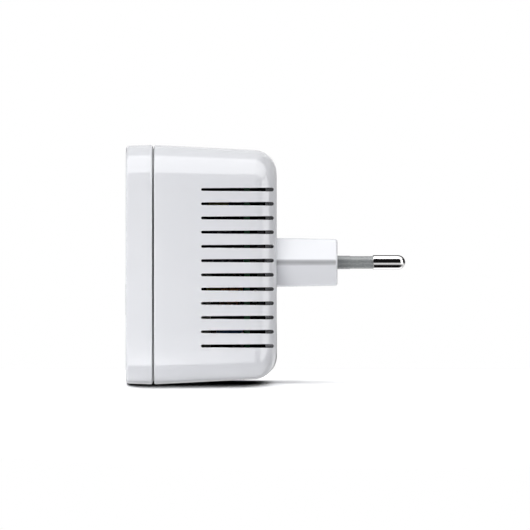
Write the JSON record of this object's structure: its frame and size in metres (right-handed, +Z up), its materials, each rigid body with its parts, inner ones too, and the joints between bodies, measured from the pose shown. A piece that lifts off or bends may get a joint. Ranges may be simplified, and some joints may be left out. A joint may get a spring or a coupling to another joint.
{
  "type": "plug-in powerline network adapter",
  "caption": "White plug-in powerline network adapter: gloss casing with a thin front cover and side vent slots, two-pin Euro plug, network jack underneath and a pairing button in front.",
  "frame": {"origin": "centre of the plug's engagement face, midway between the two pins", "axes": "+X along the pins into the wall socket, +Z up with the network jack at the bottom, Y across the pins"},
  "size_m": [0.0784, 0.051, 0.0672],
  "materials": {
    "white_gloss_plastic": "glossy white moulding",
    "grey_sleeve": "matte grey insulating sleeve",
    "nickel_plate": "polished nickel plate on brass",
    "label_film": "blank silver-grey film",
    "board_laminate": "green solder mask",
    "zinc_steel": "zinc plated steel",
    "black_plastic": "black moulding",
    "chip_package": "moulded chip package",
    "ferrite": "dark sintered ferrite",
    "bobbin_plastic": "black bobbin",
    "winding_tape": "yellow winding tape",
    "toroid_core": "green coated toroid",
    "copper_wire": "enamelled copper wire",
    "film_capacitor_yellow": "yellow capacitor box",
    "varistor_coating": "blue dipped coating",
    "y_capacitor_coating": "blue dipped coating",
    "fuse_cap": "brown fuse case",
    "capacitor_sleeve": "dark shrink sleeve on an aluminium can",
    "thermal_pad": "soft grey pad",
    "black_aluminium": "black anodised aluminium",
    "gold_plate": "gold plated phosphor bronze",
    "plunger_plastic": "dark plunger",
    "clear_acrylic": "clear acrylic",
    "lamp_resin": "lamp package"
  },
  "bodies": {
    "casing": {"front_cover": "white_gloss_plastic", "rear_housing": "white_gloss_plastic", "rating_label": "label_film", "plug_insert": "white_gloss_plastic", "pin_near": "nickel_plate", "pin_far": "nickel_plate", "pin_sleeve_near": "grey_sleeve", "pin_sleeve_far": "grey_sleeve", "main_board": "board_laminate", "power_board": "board_laminate", "main_board_screw_near": "zinc_steel", "main_board_screw_far": "zinc_steel", "power_board_screw_near": "zinc_steel", "power_board_screw_far": "zinc_steel", "insert_screw_near": "zinc_steel", "insert_screw_far": "zinc_steel", "board_link_header": "black_plastic", "transformer_core": "ferrite", "transformer_bobbin": "bobbin_plastic", "transformer_winding": "winding_tape", "choke_core": "toroid_core", "choke_winding_near": "copper_wire", "choke_winding_far": "copper_wire", "x_capacitor": "film_capacitor_yellow", "varistor": "varistor_coating", "y_capacitor": "y_capacitor_coating", "fuse": "fuse_cap", "bulk_capacitor_1": "capacitor_sleeve", "bulk_capacitor_2": "capacitor_sleeve", "output_capacitor_1": "capacitor_sleeve", "output_capacitor_2": "capacitor_sleeve", "output_choke": "ferrite", "output_diode": "chip_package", "coupling_transformer": "ferrite", "bridge_rectifier": "chip_package", "switching_chip": "chip_package", "optocoupler": "chip_package", "modem_chip": "chip_package", "memory_chip": "chip_package", "flash_chip": "chip_package", "network_chip": "chip_package", "network_transformer": "black_plastic", "crystal": "zinc_steel", "thermal_pad": "thermal_pad", "heat_sink": "black_aluminium", "jack_shield": "zinc_steel", "jack_insert": "black_plastic", "jack_contacts": "gold_plate", "pairing_switch_body": "black_plastic", "reset_switch_body": "black_plastic", "light_guide": "clear_acrylic", "indicator_lamp_near": "lamp_resin", "indicator_lamp_middle": "lamp_resin", "indicator_lamp_far": "lamp_resin"},
    "pairing_button": {"pairing_button": "white_gloss_plastic"},
    "pairing_plunger": {"pairing_switch_plunger": "plunger_plastic"},
    "reset_plunger": {"reset_switch_plunger": "plunger_plastic"}
  },
  "joints": [
    {"name": "pairing_button_press", "type": "slide", "parent": "casing", "child": "pairing_button", "axis": [1, 0, 0], "range_m": [0, 0.0004]},
    {"name": "pairing_plunger_press", "type": "slide", "parent": "casing", "child": "pairing_plunger", "axis": [1, 0, 0], "range_m": [0, 0.0004]},
    {"name": "reset_plunger_press", "type": "slide", "parent": "casing", "child": "reset_plunger", "axis": [0, 0, 1], "range_m": [0, 0.0004]}
  ],
  "couplings": [
    {"joint": "pairing_plunger_press", "follows": "pairing_button_press", "ratio": 1}
  ]
}
